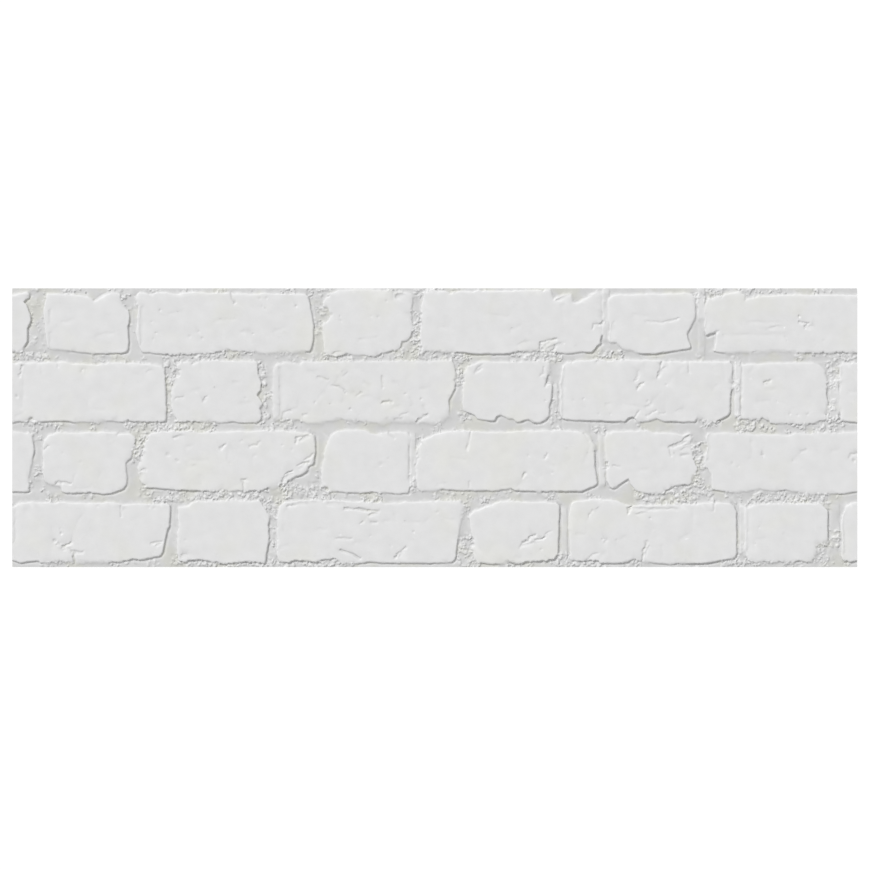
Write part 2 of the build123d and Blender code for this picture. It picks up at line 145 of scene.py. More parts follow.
# Pits: place, radius and depth
PITS = (
    (175, 26, 1.6, 0.5), (336, 21, 1.4, 0.5), (299, 24, 1.2, 0.3), (293, 12, 2, 0.3), (285, 54, 1.5, 0.35),
    (275, 50, 1.5, 0.3), (210, 57, 2, 0.3), (221, 51, 1.4, 0.3), (225, 59, 1.8, 0.35), (931, 33, 1.5, 0.7),
    (165, 40, 1.4, 0.3), (170, 53, 1.3, 0.35), (167, 60, 1.4, 0.25), (433, 34, 1.5, 0.3), (443, 15, 1.4, 0.3),
    (6, 128, 2.4, 0.5), (393, 121, 2, 0.5), (358, 135, 1.6, 0.4), (400, 143, 1.6, 0.5), (87, 96, 1.4, 0.25),
    (484, 131, 1.6, 0.4), (376, 137, 1.3, 0.35), (465, 125, 1.5, 0.35), (774, 114, 1.6, 0.35),
    (184, 197, 2.6, 0.4), (196, 204, 2.2, 0.35), (81, 206, 2.2, 0.25), (60, 195, 1.6, 0.2),
    (287, 198, 2, 0.25), (271, 181, 1.6, 0.25), (320, 186, 1.4, 0.3), (331, 191, 1.8, 0.25),
    (258, 207, 1.5, 0.2), (436, 208, 2.6, 0.25), (611, 198, 1.5, 0.3), (888, 197, 1.8, 0.6),
    (939, 191, 1.6, 0.4), (924, 204, 1.5, 0.3), (996, 204, 2, 0.6), (852, 207, 2, 0.3), (859, 211, 1.5, 0.2),
    (50, 299, 2.6, 0.6), (58, 290, 1.8, 0.6), (57, 285, 1.3, 0.3), (475, 288, 1.6, 0.4), (716, 298, 2, 0.3),
    (755, 272, 1.5, 0.4), (503, 265, 1.6, 0.3), (626, 309, 1.7, 0.3), (640, 218, 1.8, 0.2),
    (445, 201, 1.6, 0.2), (240, 118, 1.5, 0.2), (920, 149, 1.6, 0.3), (930, 150, 1.4, 0.3),
    (941, 149, 1.4, 0.3), (905, 134, 1.6, 0.25), (425, 33, 1.5, 0.25), (389, 38, 1.5, 0.25),
    (960, 62, 1.8, 0.2), (664, 133, 1.5, 0.2), (676, 131, 1.5, 0.35), (694, 149, 1.5, 0.25),
    (708, 149, 1.5, 0.25), (752, 134, 2, 0.35), (756, 138, 1.8, 0.3), (751, 151, 2, 0.4),
    (757, 147, 1.6, 0.3), (276, 130, 1.6, 0.2), (631, 133, 1.3, 0.3), (884, 283, 1.6, 0.2),
    (879, 303, 1.5, 0.2), (205, 298, 1.6, 0.2), (448, 305, 1.8, 0.2), (162, 259, 2, 0.25),
    (168, 260, 1.6, 0.25), (424, 293, 1.5, 0.2), (388, 291, 1.4, 0.25), (101, 258, 1.5, 0.2),
    (17, 263, 1.6, 0.2), (741, 193, 2, 0.2), (703, 207, 2.2, 0.9), (704, 211, 2, 0.9), (915, 58, 2, 0.3),
    (917, 62, 1.5, 0.25), (194, 102, 3.4, 1.7), (377, 31, 2.2, 0.4), (372, 23, 1.8, 0.45),
    (388, 33, 1.4, 0.3), (301, 12, 1.5, 0.25), (296, 22, 1.4, 0.2), (731, 261, 2.2, 0.8),
    (544, 303, 2.5, 1.6), (58, 230, 2, 0.8), (195, 87, 2.3, 1.8), (871, 163, 2.4, 1.8), (372, 238, 2.4, 1.8),
    (396, 81, 2.4, 1.6), (23, 155, 2.4, 1.6), (755, 246, 2.4, 1.8), (627, 72, 2.2, 0.9), (612, 296, 2, 0.8),
)

# Chips: place, length, width, turn of the length in degrees, way that the broken face looks, depth.
# Degrees are counter-clockwise from rightwards, so a chip that looks towards 135 faces the light.
CHIPS = (
    (459, 10, 14, 9, 0, 135, 0.7), (104, 10, 20, 5, 35, 135, 0.5), (552, 95, 16, 5, 45, 135, 0.45),
    (197, 176, 16, 5, 8, 115, 0.5), (346, 178, 16, 7, 28, 120, 0.7), (797, 198, 16, 5, 0, 110, 0.45),
    (797, 190, 16, 6, 20, 110, 0.4), (327, 223, 14, 7, 30, 130, 0.6), (345, 210, 16, 7, 42, 150, 0.3),
    (427, 268, 14, 6, 10, 110, 0.65), (614, 303, 28, 6, 10, 110, 0.5), (173, 304, 10, 5, 15, 110, 0.5),
    (65, 309, 14, 5, 12, 110, 0.35), (55, 303, 8, 5, 10, 120, 0.4), (752, 311, 16, 5, 72, 160, 0.55),
    (461, 315, 12, 5, 48, 150, 0.4), (133, 263, 9, 9, 90, 150, 0.3), (945, 47, 12, 8, 0, 135, 0.4),
    (755, 140, 12, 7, 60, 130, 0.3), (770, 98, 14, 7, 55, 145, 0.55), (895, 113, 8, 4, 10, 110, 0.4),
    (745, 267, 16, 5, 5, 110, 0.4), (193, 112, 16, 7, 65, 160, 0.5), (606, 66, 20, 8, 15, 110, 0.25),
    (384, 77, 14, 6, 8, 120, 0.5), (790, 145, 14, 6, 10, 110, 0.25), (204, 317, 12, 8, 0, 120, 0.5),
    (153, 206, 26, 9, 72, 160, 0.45), (154, 223, 12, 7, 110, 170, 0.45), (643, 69, 24, 7, 20, 115, 0.45),
    (652, 12, 20, 6, 20, 125, 0.5), (677, 13, 24, 6, 20, 125, 0.5), (832, 65, 20, 5, 88, 170, 0.5),
    (711, 50, 24, 7, 80, 170, 0.35), (163, 99, 12, 6, 5, 110, 0.25), (350, 255, 28, 6, 2, 100, 0.3),
    (385, 256, 28, 8, 0, 100, 0.3), (703, 300, 8, 5, 40, 125, 0.4), (816, 158, 8, 6, 0, 120, 0.7),
    (905, 47, 22, 6, 5, 110, 0.3), (875, 183, 8, 5, 80, 160, 0.3), (655, 94, 12, 4, 75, 150, 0.35),
    (204, 87, 7, 4, 10, 120, 0.6), (216, 88, 11, 4, 30, 125, 0.6), (664, 87, 8, 4, 30, 120, 0.6),
    (693, 87, 6, 4, 30, 120, 0.5), (652, 8, 16, 6, 10, 110, 0.4), (395, 124, 5, 4, 0, 120, 0.5),
    (279, 52, 20, 5, 0, 110, 0.2), (633, 67, 10, 6, 30, 120, 0.4),
)

# Sides of the bricks, soft below 1 and sharp over a deep joint above 1: left, top, right, bottom, sharpness
SHARPNESS = (
    (12, 8, 26, 20, 2), (14, 20, 26, 68, 2.2), (134, 26, 144, 46, 2.4), (132, 46, 144, 76, 2.1),
    (124, 3, 140, 24, 0.3), (86, 6, 100, 18, 0.2), (96, 4, 126, 22, 0.3), (-3, 2, 18, 10, 0.5),
    (38, 0, 88, 12, 0.5), (348, 8, 362, 76, 1.9), (60, 72, 100, 84, 1.5), (100, 72, 140, 84, 1.9),
    (150, 72, 252, 84, 1.6), (252, 72, 288, 82, 1.3), (290, 72, 345, 84, 0.9), (376, 76, 396, 86, 2),
    (396, 72, 430, 84, 1.3), (428, 76, 438, 86, 1.8), (438, 70, 462, 80, 1.7), (456, 52, 478, 70, 1.8),
    (466, 8, 478, 50, 0.6), (526, 72, 596, 81, 2.1), (596, 70, 645, 82, 1.3), (645, 72, 680, 82, 1.6),
    (680, 56, 702, 80, 2.1), (636, 0, 700, 16, 0.3), (692, 4, 702, 53, -0.5), (702, 10, 712, 60, 0.3),
    (704, 0, 806, 12, 0.7), (743, 68, 775, 81, 2.1), (775, 66, 806, 80, 1.8), (798, 22, 814, 50, 1.5),
    (796, 50, 808, 74, 1.7), (818, 47, 838, 60, 2), (828, 72, 846, 80, 1.5), (846, 72, 930, 86, 0.6),
    (868, 2, 900, 12, 0.5), (930, 72, 1003, 82, 1.5), (176, 96, 188, 104, 2.4), (176, 104, 190, 160, 2),
    (170, 84, 184, 96, 0.3), (186, 86, 202, 110, 1.8), (288, 90, 300, 128, 2), (292, 128, 302, 158, 1.8),
    (189, 112, 196, 150, 0.5), (304, 96, 314, 152, 0.4), (0, 152, 12, 166, 1.6), (36, 152, 75, 166, 1.8),
    (75, 152, 95, 166, 1.2), (95, 152, 113, 166, 0.5), (113, 152, 136, 166, 1.4), (136, 152, 182, 166, 1.7),
    (196, 152, 290, 166, 1.6), (304, 152, 372, 166, 0.8), (372, 150, 436, 164, 1), (436, 150, 476, 164, 0.1),
    (492, 150, 512, 166, 0.2), (506, 117, 528, 140, 1.9), (518, 86, 528, 98, 1.8), (530, 95, 542, 145, 0.3),
    (539, 146, 550, 154, 1.8), (551, 150, 568, 164, 1.6), (566, 146, 580, 162, 2.1),
    (578, 146, 596, 162, 1.4), (596, 150, 640, 163, 2), (628, 102, 637, 116, 1.9), (634, 112, 644, 137, 2.2),
    (630, 137, 642, 152, 1.8), (630, 84, 642, 101, 0.5), (646, 86, 658, 150, 0.3), (646, 150, 686, 163, 1.7),
    (686, 150, 738, 163, 2.1), (738, 152, 776, 163, 1.4), (776, 152, 814, 163, 1.8),
    (814, 150, 834, 163, 0.6), (834, 120, 856, 160, 2), (846, 88, 858, 108, 1.9), (846, 108, 858, 119, 0.4),
    (856, 86, 864, 152, 0.3), (862, 152, 895, 162, 1.3), (895, 152, 964, 166, 1.5), (962, 114, 970, 138, 1.8),
    (954, 86, 968, 112, 0.6), (976, 86, 984, 155, 0.5), (978, 152, 1003, 164, 2), (20, 172, 30, 183, 1.3),
    (20, 183, 32, 203, 2), (16, 203, 32, 228, 1.3), (-3, 234, 24, 248, 1.8), (138, 166, 150, 180, 0.5),
    (138, 180, 150, 192, 1.6), (134, 192, 146, 236, 1.6), (60, 236, 134, 248, 1.9), (163, 232, 240, 246, 1.9),
    (240, 236, 280, 246, 1.2), (280, 230, 306, 244, 1.8), (306, 228, 318, 242, 0.3),
    (354, 172, 364, 210, 2.1), (328, 212, 352, 232, 2), (364, 170, 380, 232, 0.6), (464, 172, 476, 226, 1.1),
    (464, 226, 478, 236, 0.3), (474, 184, 486, 232, 0), (376, 236, 474, 248, 1.8), (494, 234, 506, 246, 1),
    (506, 234, 594, 246, 1.6), (594, 234, 622, 246, 1.9), (622, 234, 628, 246, 0.6), (628, 234, 684, 246, 2),
    (684, 190, 696, 242, 2), (674, 166, 690, 190, 0.4), (698, 172, 708, 236, 0.3), (706, 222, 734, 242, 2),
    (733, 236, 750, 250, 1.8), (750, 236, 774, 250, 1.3), (776, 230, 804, 242, 1.8),
    (800, 196, 816, 220, 1.3), (818, 168, 830, 206, 0.5), (826, 234, 846, 246, 2), (846, 234, 905, 246, 1.1),
    (905, 234, 920, 246, 1.7), (918, 234, 978, 248, 1.1), (978, 234, 1003, 248, 1.7),
    (181, 254, 192, 302, 2.1), (172, 300, 186, 320, 1.9), (-3, 318, 34, 330, 1.8), (34, 318, 62, 330, 1.4),
    (62, 318, 76, 330, 1), (75, 318, 89, 330, 0.1), (89, 318, 116, 330, 0.7), (116, 316, 182, 330, 1.8),
    (298, 272, 308, 327, 2), (296, 262, 306, 272, 0.4), (293, 253, 300, 262, 1.8), (200, 316, 300, 332, 2.2),
    (312, 262, 322, 318, 0.4), (312, 316, 392, 332, 2.1), (390, 318, 411, 330, 1), (411, 318, 500, 330, 1.9),
    (500, 318, 526, 330, 1.6), (524, 296, 534, 328, 2), (524, 272, 534, 296, 1.2), (528, 253, 538, 271, 0.2),
    (541, 268, 550, 322, 0.3), (552, 318, 578, 332, 1.8), (578, 318, 590, 332, 1), (590, 312, 642, 330, 2),
    (638, 310, 652, 326, 2.2), (641, 256, 653, 310, 2.4), (666, 314, 728, 332, 1.9),
    (728, 312, 745, 328, 1.6), (755, 318, 800, 332, 1.7), (800, 316, 862, 332, 2.1),
    (852, 254, 862, 318, 2.1), (864, 256, 874, 318, 0.3), (945, 304, 955, 326, 1), (874, 318, 930, 330, 1.2),
    (930, 318, 948, 330, 1.7), (960, 262, 970, 303, 2.5), (946, 296, 964, 306, 0.3),
    (974, 254, 988, 318, 0.8), (980, 318, 1003, 330, 2), (466, 12, 478, 28, 1.4), (136, 188, 148, 200, 1),
)

# Sandy patches of the joints: left, top, right, bottom and strength
GRIT = (
    (62, -3, 88, 6, 1), (104, -3, 111, 3, 0.7), (116, -3, 123, 5, 0.7), (131, -3, 139, 4, 0.9),
    (162, -3, 170, 8, 0.8), (200, -3, 225, 4, 0.6), (240, -3, 251, 5, 1), (281, -3, 288, 4, 0.7),
    (318, -3, 333, 6, 0.9), (350, -3, 376, 10, 0.8), (438, -3, 458, 8, 0.9), (476, -3, 530, 10, 0.8),
    (545, -3, 560, 4, 0.5), (617, -2, 628, 4, 0.7), (714, -3, 723, 4, 0.7), (818, 0, 840, 14, 1),
    (858, -3, 916, 6, 1), (868, 3, 878, 12, 0.7), (946, -3, 967, 5, 0.9), (804, 6, 810, 18, 1),
    (22, 4, 40, 14, 0.8), (22, 14, 37, 72, 0.5), (127, 9, 146, 24, 1), (140, 45, 148, 53, 0.6),
    (360, 18, 369, 52, 0.9), (473, 28, 484, 83, 1.2), (0, 75, 42, 85, 1), (49, 76, 57, 83, 0.6),
    (95, 78, 124, 88, 0.6), (130, 82, 156, 88, 0.6), (180, 77, 203, 96, 1.3), (203, 76, 252, 84, 1.1),
    (252, 76, 283, 85, 0.9), (312, 76, 345, 88, 0.35), (352, 74, 370, 86, 0.6), (370, 76, 400, 86, 0.9),
    (418, 77, 437, 85, 0.7), (445, 75, 464, 84, 0.7), (468, 74, 494, 88, 1), (494, 74, 524, 84, 0.9),
    (525, 79, 541, 94, 1), (590, 75, 648, 86, 1.1), (690, 76, 723, 86, 1.2), (808, 74, 816, 85, 0.4),
    (928, 75, 1003, 86, 0.9), (853, 78, 862, 88, 0.5), (183, 86, 194, 112, 1.2), (184, 112, 190, 158, 0.6),
    (290, 86, 298, 160, 1.1), (299, 121, 307, 129, 0.9), (302, 153, 310, 160, 0.9), (521, 97, 535, 115, 1.1),
    (530, 145, 541, 156, 1), (634, 134, 644, 152, 0.9), (644, 113, 650, 124, 0.7), (847, 108, 858, 120, 0.9),
    (964, 84, 976, 118, 0.8), (964, 130, 972, 152, 0.6), (12, 154, 28, 164, 1), (24, 162, 58, 171, 0.9),
    (92, 159, 102, 166, 0.7), (132, 158, 186, 168, 1.2), (188, 157, 204, 171, 1.3), (204, 158, 246, 170, 1.1),
    (296, 152, 343, 168, 0.8), (322, 164, 360, 172, 0.4), (394, 154, 420, 162, 0.6),
    (499, 158, 507, 171, 0.6), (524, 158, 532, 170, 0.7), (638, 156, 651, 168, 0.9),
    (685, 164, 700, 171, 0.9), (738, 160, 748, 169, 0.6), (818, 153, 838, 163, 1), (857, 152, 900, 169, 1.5),
    (915, 158, 955, 170, 1), (960, 150, 982, 170, 1.1), (20, 168, 34, 178, 0.8), (27, 213, 35, 224, 0.9),
    (16, 229, 34, 240, 1), (141, 176, 161, 204, 1.3), (157, 173, 164, 186, 1.1), (360, 218, 366, 226, 0.9),
    (478, 178, 484, 198, 0.8), (468, 224, 484, 240, 0.8), (700, 203, 708, 214, 1), (806, 182, 822, 212, 1),
    (803, 216, 817, 236, 1.2), (42, 244, 55, 252, 1.1), (84, 240, 95, 250, 0.9), (100, 245, 112, 252, 0.5),
    (154, 234, 166, 246, 0.9), (162, 242, 192, 254, 1.1), (196, 238, 216, 250, 1.1),
    (216, 236, 252, 251, 1.1), (250, 236, 302, 251, 1.2), (302, 246, 318, 256, 1.2),
    (316, 228, 334, 246, 1.1), (324, 238, 352, 251, 1), (352, 230, 378, 250, 1.2), (380, 242, 398, 250, 0.4),
    (412, 243, 438, 253, 0.9), (498, 242, 528, 251, 0.7), (528, 240, 600, 251, 0.45),
    (552, 243, 564, 254, 1.1), (630, 242, 646, 250, 0.8), (680, 244, 698, 251, 0.6), (735, 240, 754, 253, 1),
    (754, 240, 808, 254, 1.3), (778, 232, 808, 241, 1), (808, 236, 830, 250, 0.8), (843, 240, 852, 247, 0.9),
    (856, 246, 876, 254, 0.7), (876, 244, 965, 254, 1), (965, 240, 982, 252, 0.4), (299, 250, 313, 266, 1.1),
    (305, 270, 316, 286, 1), (304, 298, 316, 311, 1.1), (302, 316, 318, 330, 0.8), (532, 254, 541, 272, 0.7),
    (531, 294, 546, 330, 1.1), (948, 304, 964, 329, 0.7), (960, 288, 978, 306, 1), (866, 249, 873, 256, 0.9),
    (858, 296, 872, 318, 0.4), (190, 316, 204, 330, 0.9), (36, 321, 66, 331, 0.9), (66, 322, 74, 328, 0.5),
    (115, 320, 125, 328, 0.9), (133, 320, 149, 327, 0.7), (160, 322, 172, 330, 0.5),
    (198, 320, 302, 333, 1.3), (314, 318, 384, 333, 1.4), (382, 320, 408, 330, 1), (528, 316, 552, 330, 1),
    (586, 316, 648, 333, 1.3), (655, 314, 700, 333, 1.2), (722, 316, 742, 330, 1), (776, 318, 800, 328, 0.8),
    (800, 324, 826, 332, 0.7), (838, 319, 872, 331, 1), (876, 320, 935, 333, 0.9), (940, 320, 974, 330, 0.6),
    (984, 319, 1003, 327, 0.8),
)

# Smears of mortar in the joints: left, top, right, bottom and rise above the joint floor
SMEARS = (
    (699.5, 6, 706, 58, 1.4), (811.5, 2, 819, 34, 1.7), (813, 34, 819, 74, 0.7), (855.5, 92, 861, 150, 1.7),
    (968, 112, 978, 152, 1.4), (472, 176, 477, 234, 1.3), (694.5, 176, 701, 230, 1.4),
    (650, 266, 656, 314, 1.1), (861, 260, 868, 310, 1.4), (968, 258, 978, 300, 0.8),
    (641, 118, 645, 136, 1.2), (603, 82, 614, 88, 1.5), (873, 77, 938, 83, 0.5),
)


# Noise

def smooth(share):
    """A share from 0 to 1, with its start and its end made level."""
    return share * share * (3 - 2 * share)


def ramp(value, low, high):
    """0 below low, 1 above high and smooth between them."""
    return smooth(np.clip((value - low) / (high - low), 0, 1))


def bell(value, width, power=2):
    """1 where the value is 0, falling smoothly to about a third at the width and then to 0."""
    return np.exp(-((value / width) ** power))


def noise(x, y, size, seed):
    """A smooth random field between -1 and 1 whose blobs are about size across."""
    cells, first = 512, 200
    table = np.random.default_rng(seed).uniform(-1, 1, (cells, cells))
    u, v = x / size + first, y / size + first
    i, j = np.floor(u).astype(int), np.floor(v).astype(int)
    u, v = smooth(u - i), smooth(v - j)
    i, j, i_next, j_next = i % cells, j % cells, (i + 1) % cells, (j + 1) % cells
    near = table[i, j] * (1 - u) + table[i_next, j] * u
    far = table[i, j_next] * (1 - u) + table[i_next, j_next] * u
    return near * (1 - v) + far * v


def rough(x, y, size, seed, layers=3, weaker=0.55):
    """Noise with layers on top of it, each half as large as the last and weaker than it."""
    total = 0
    for layer in range(layers):
        total = total + noise(x, y, size / 2**layer, seed + layer) * weaker**layer
    return total


# The solid's own brick outlines

def merged_triangles(node):
    """A node's corner points, in millimetres and each given once, and its triangles."""
    mesh = node.data
    mesh.calc_loop_triangles()
    points = np.empty(len(mesh.vertices) * 3)
    mesh.vertices.foreach_get("co", points)
    corners = np.empty(len(mesh.loop_triangles) * 3, dtype=np.int32)
    mesh.loop_triangles.foreach_get("vertices", corners)
    points, same = np.unique((points.reshape(-1, 3) / MM).round(3), axis=0, return_inverse=True)
    return points, same.reshape(-1)[corners].reshape(-1, 3)


def joint_floor_of(points, triangles):
    """The height of the joint floor, the lowest level ground in the upper half, and its triangles."""
    corner = points[triangles]
    normals = np.cross(corner[:, 1] - corner[:, 0], corner[:, 2] - corner[:, 0])
    level = (np.ptp(corner[:, :, 2], axis=1) < TOUCH) & (normals[:, 2] > 0)
    level &= corner[:, 0, 2] > points[:, 2].max() / 2
    floor = corner[level][:, 0, 2].min()
    return floor, triangles[level & (corner[:, 0, 2] < floor + 2 * TOUCH)]


def brick_outlines(points, floor_triangles, length, height):
    """The foot of each brick, where the joint floor ends. Bricks cut by the tile's edge stay open."""
    edges = {(a, b) for t in floor_triangles for a, b in ((t[0], t[1]), (t[1], t[2]), (t[2], t[0]))}

    def on_rim(i):
        x, y = points[i][:2]
        return abs(x) > length / 2 - TOUCH or abs(y) > height / 2 - TOUCH

    following = {a: b for a, b in edges if (b, a) not in edges and not (on_rim(a) and on_rim(b))}
    starts = [a for a in following if a not in set(following.values())]
    outlines = []
    while following:
        start = starts.pop() if starts else next(iter(following))
        chain = [start]
        while chain[-1] in following:
            chain.append(following.pop(chain[-1]))
        outlines.append(points[chain][:, :2])
    return sorted(outlines, key=lambda outline: tuple(outline.mean(axis=0)))


def offset_from_runs(x, y, chain):
    """Each point's offset, in x and in y, from the nearest place on a chain of straight runs."""
    far_away, tiny = 1e6, 1e-12
    offset_x, offset_y = np.full(x.shape, far_away), np.full(x.shape, far_away)
    for (ax, ay), (bx, by) in zip(chain[:-1], chain[1:]):
        dx, dy = bx - ax, by - ay
        share = np.clip(((x - ax) * dx + (y - ay) * dy) / (dx * dx + dy * dy + tiny), 0, 1)
        to_x, to_y = x - ax - share * dx, y - ay - share * dy
        nearer = np.hypot(to_x, to_y) < np.hypot(offset_x, offset_y)
        offset_x, offset_y = np.where(nearer, to_x, offset_x), np.where(nearer, to_y, offset_y)
    return offset_x, offset_y


def inside(x, y, outline):
    """Whether each point is inside a closed outline."""
    odd = np.zeros(x.shape, dtype=bool)
    for (ax, ay), (bx, by) in zip(outline, np.roll(outline, -1, axis=0)):
        if ay != by:
            odd ^= ((ay > y) != (by > y)) & (x < (bx - ax) * (y - ay) / (by - ay) + ax)
    return odd


points, triangles = merged_triangles(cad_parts["tile"])
tile_length, tile_height = np.ptp(points[:, 0]), np.ptp(points[:, 1])
tile_top = points[:, 2].max()
joint_floor, floor_triangles = joint_floor_of(points, triangles)
outlines = brick_outlines(points, floor_triangles, tile_length, tile_height)
brick_tops = np.array([points[inside(points[:, 0], points[:, 1], outline), 2].max() for outline in outlines])


# Grid of the face's height field

columns = int(tile_length / GRID_STEP) + 1
rows = int(tile_height / GRID_STEP) + 1
grid_x, grid_y = np.meshgrid(
    np.linspace(-tile_length / 2, tile_length / 2, columns),
    np.linspace(-tile_height / 2, tile_height / 2, rows),
)

# The axes that the marks are placed by
across = grid_x + tile_length / 2
down = tile_height / 2 - grid_y


def window(low_x, low_y, high_x, high_y, margin):
    """The part of the grid within a box and a margin round it."""
    columns_in = np.flatnonzero((across[0] > low_x - margin) & (across[0] < high_x + margin))
    rows_in = np.flatnonzero((down[:, 0] > low_y - margin) & (down[:, 0] < high_y + margin))
    return np.s_[rows_in[0] : rows_in[-1] + 1, columns_in[0] : columns_in[-1] + 1]


def outside_box(x, y, left, top, right, bottom):
    """How far each point is outside a box, sideways and upright."""
    beside = np.maximum(abs(x - (left + right) / 2) - (right - left) / 2, 0)
    beyond = np.maximum(abs(y - (top + bottom) / 2) - (bottom - top) / 2, 0)
    return beside, beyond


def box_share(near, left, top, right, bottom):
    """1 within a box and fading unevenly to 0 round it."""
    x, y = across[near], down[near]
    outside = np.hypot(*outside_box(x, y, left, top, right, bottom))
    return 1 - ramp(outside + 1.5 * noise(x, y, size=5, seed=71), -1.0, 4.0)


def turned(right, up, angle):
    """How far a place is along and beside a line that is turned by an angle."""
    return right * math.cos(angle) + up * math.sin(angle), up * math.cos(angle) - right * math.sin(angle)


def softened(field, passes):
    """Each value averaged with the values round it, several times over."""
    for _ in range(passes):
        for axis in (0, 1):
            margin = [(0, 0), (0, 0)]
            margin[axis] = (1, 1)
            wide = np.pad(field, margin, mode="edge")
            before, after = (wide[:-2], wide[2:]) if axis == 0 else (wide[:, :-2], wide[:, 2:])
            field = 0.5 * field + 0.25 * (before + after)
    return field


# Bricks and joints

def side_sharpness():
    """How sharply the bricks' sides stand at each place: 1 is usual."""
    sharpness = 1 + 0.3 * rough(grid_x, grid_y, size=26, seed=31, layers=2)
    for *box, strength in SHARPNESS:
        near = window(*box, margin=5)
        sharpness[near] += (strength - sharpness[near]) * box_share(near, *box)
    return sharpness


def grit_mask():
    """How sandy each place is."""
    mask = np.full(grid_x.shape, 0.08)
    for *box, strength in GRIT:
        near = window(*box, margin=6)
        mask[near] = np.maximum(mask[near], strength * box_share(near, *box))
    return mask


def brick_depths(sharpness, sandy):
    """How far each grid point lies inside a brick's ragged outline, and which brick is nearest."""
    inner = tile_length / 2 - TOUCH
    calm = 1 - 0.6 * np.clip(sharpness - 1.2, 0, 1)
    ragged_x = np.clip(grid_x + RAGGEDNESS * calm * rough(grid_x, grid_y, size=7, seed=11), -inner, inner)
    ragged_y = grid_y + RAGGEDNESS * calm * rough(grid_x, grid_y, size=7, seed=21)
    depth = np.full(grid_x.shape, -RAGGED_REACH)
    brick = np.zeros(grid_x.shape, dtype=int)
    for number, outline in enumerate(outlines):
        low, high = outline.min(axis=0) - RAGGED_REACH, outline.max(axis=0) + RAGGED_REACH
        near = (grid_x > low[0]) & (grid_x < high[0]) & (grid_y > low[1]) & (grid_y < high[1])
        x, y = ragged_x[near], ragged_y[near]
        signed = np.hypot(*offset_from_runs(x, y, outline)) * np.where(inside(x, y, outline), 1, -1)
        nearer = signed > depth[near]
        depth[near] = np.where(nearer, signed, depth[near])
        brick[near] = np.where(nearer, number, brick[near])
    frayed = calm * (0.3 + np.minimum(sandy, 1)) * rough(grid_x, grid_y, size=4, seed=131, layers=2)
    return softened(depth, passes=2) + frayed, brick


def side_facings(brick_depth):
    """How far the nearest brick side looks leftwards, rightwards and downwards, each from 0 to 1."""
    slope_y, slope_x = np.gradient(brick_depth)
    steepness = np.hypot(slope_x, slope_y) + 1e-6
    return tuple(np.clip(slope / steepness, 0, 1) for slope in (slope_x, -slope_x, slope_y))


def brick_share(sharpness):
    """0 on the joint floor, 1 on a brick's face: steep at the foot and easing off at the top."""
    # Sides that look left are short, and those that look right and down are the longest
    by_facing = 1 - 0.6 * leftward - 0.3 * rightward + 0.1 * downward + 2.8 * rightward * downward
    run = SIDE_RUN * 2 ** (1.5 * (1 - sharpness)) * by_facing
    outward = 0.8 * leftward - 0.3 * rightward - 0.2 * downward - 0.3 * np.clip(sharpness - 1, 0, 1)
    rise = np.clip((brick_depth + outward) / run + SIDE_FOOT / SIDE_RUN, 0, 1)
    return 1 - (1 - rise) ** (1.5 - 0.35 * leftward)


def face_waves(sharpness):
    """Each brick's own small tilt, its waves, its worn rim and the lip of its sharpest sides."""
    random = np.random.default_rng(5)
    tilts = random.uniform(-1, 1, (len(outlines), 2)) * (0.0007, 0.0014)
    centres = np.array([outline.mean(axis=0) for outline in outlines])
    tilt_x, tilt_y = tilts[brick_number].transpose(2, 0, 1)
    centre_x, centre_y = centres[brick_number].transpose(2, 0, 1)
    tilt = np.clip(tilt_x * (grid_x - centre_x) + tilt_y * (grid_y - centre_y), -MOST_TILT, MOST_TILT)
    waves = FACE_WAVE * rough(grid_x, grid_y, size=45, seed=41, layers=2)
    rim_width, lip_inset, lip_width = 3.5, 1.4, 0.8
    worn = np.exp(-np.maximum(brick_depth, 0) / rim_width)
    worn *= 0.5 + 0.5 * noise(grid_x, grid_y, size=25, seed=57)
    worn *= 1 - 0.8 * leftward
    lip = bell(brick_depth - lip_inset, lip_width)
    crisp = np.clip(sharpness - 1.1, 0, 0.9)
    return tilt + waves - RIM_WEAR * worn * (1 - crisp) + LIP_HEIGHT * lip * crisp


def mortar_smears():
    """How far the smears of mortar stand above the joint floor."""
    rise = np.zeros(grid_x.shape)
    for left, top, right, bottom, high in SMEARS:
        near = window(left, top, right, bottom, margin=9)
        x, y = across[near] + 0.8 * noise(across[near], down[near], size=6, seed=151), down[near]
        beside, beyond = outside_box(x, y, left, top, right, bottom)
        fading = 1 - ramp(np.hypot(beside, 0.2 * beyond), 0.0, 1.6)
        rise[near] = np.maximum(rise[near], high * fading * (0.88 + 0.22 * noise(x, y, size=11, seed=152)))
    return rise


def joint_floor_waves(sharpness):
    """The joint floor's waves and smears and, right of and below a brick, its fillet or trench."""
    from_foot = -brick_depth - SIDE_FOOT
    shaded = np.clip(rightward + downward, 0, 1)
    fillet_width, trench_width = 3.0, 1.4 + 0.5 * rightward
    fillet = bell(np.maximum(from_foot, 0), fillet_width) * np.clip(2 - sharpness, 0, 1) * shaded
    deep = bell(from_foot + 0.3, trench_width, power=4) * np.clip(sharpness - 1.2, 0, 1) * shaded
    waves = JOINT_WAVE * rough(grid_x, grid_y, size=30, seed=61, layers=2) - JOINT_DROP
    smeared = mortar_smears()
    return waves + smeared + (JOINT_FILLET * fillet - DEEP_JOINT * deep) * np.clip(1 - 0.3 * smeared, 0, 1)


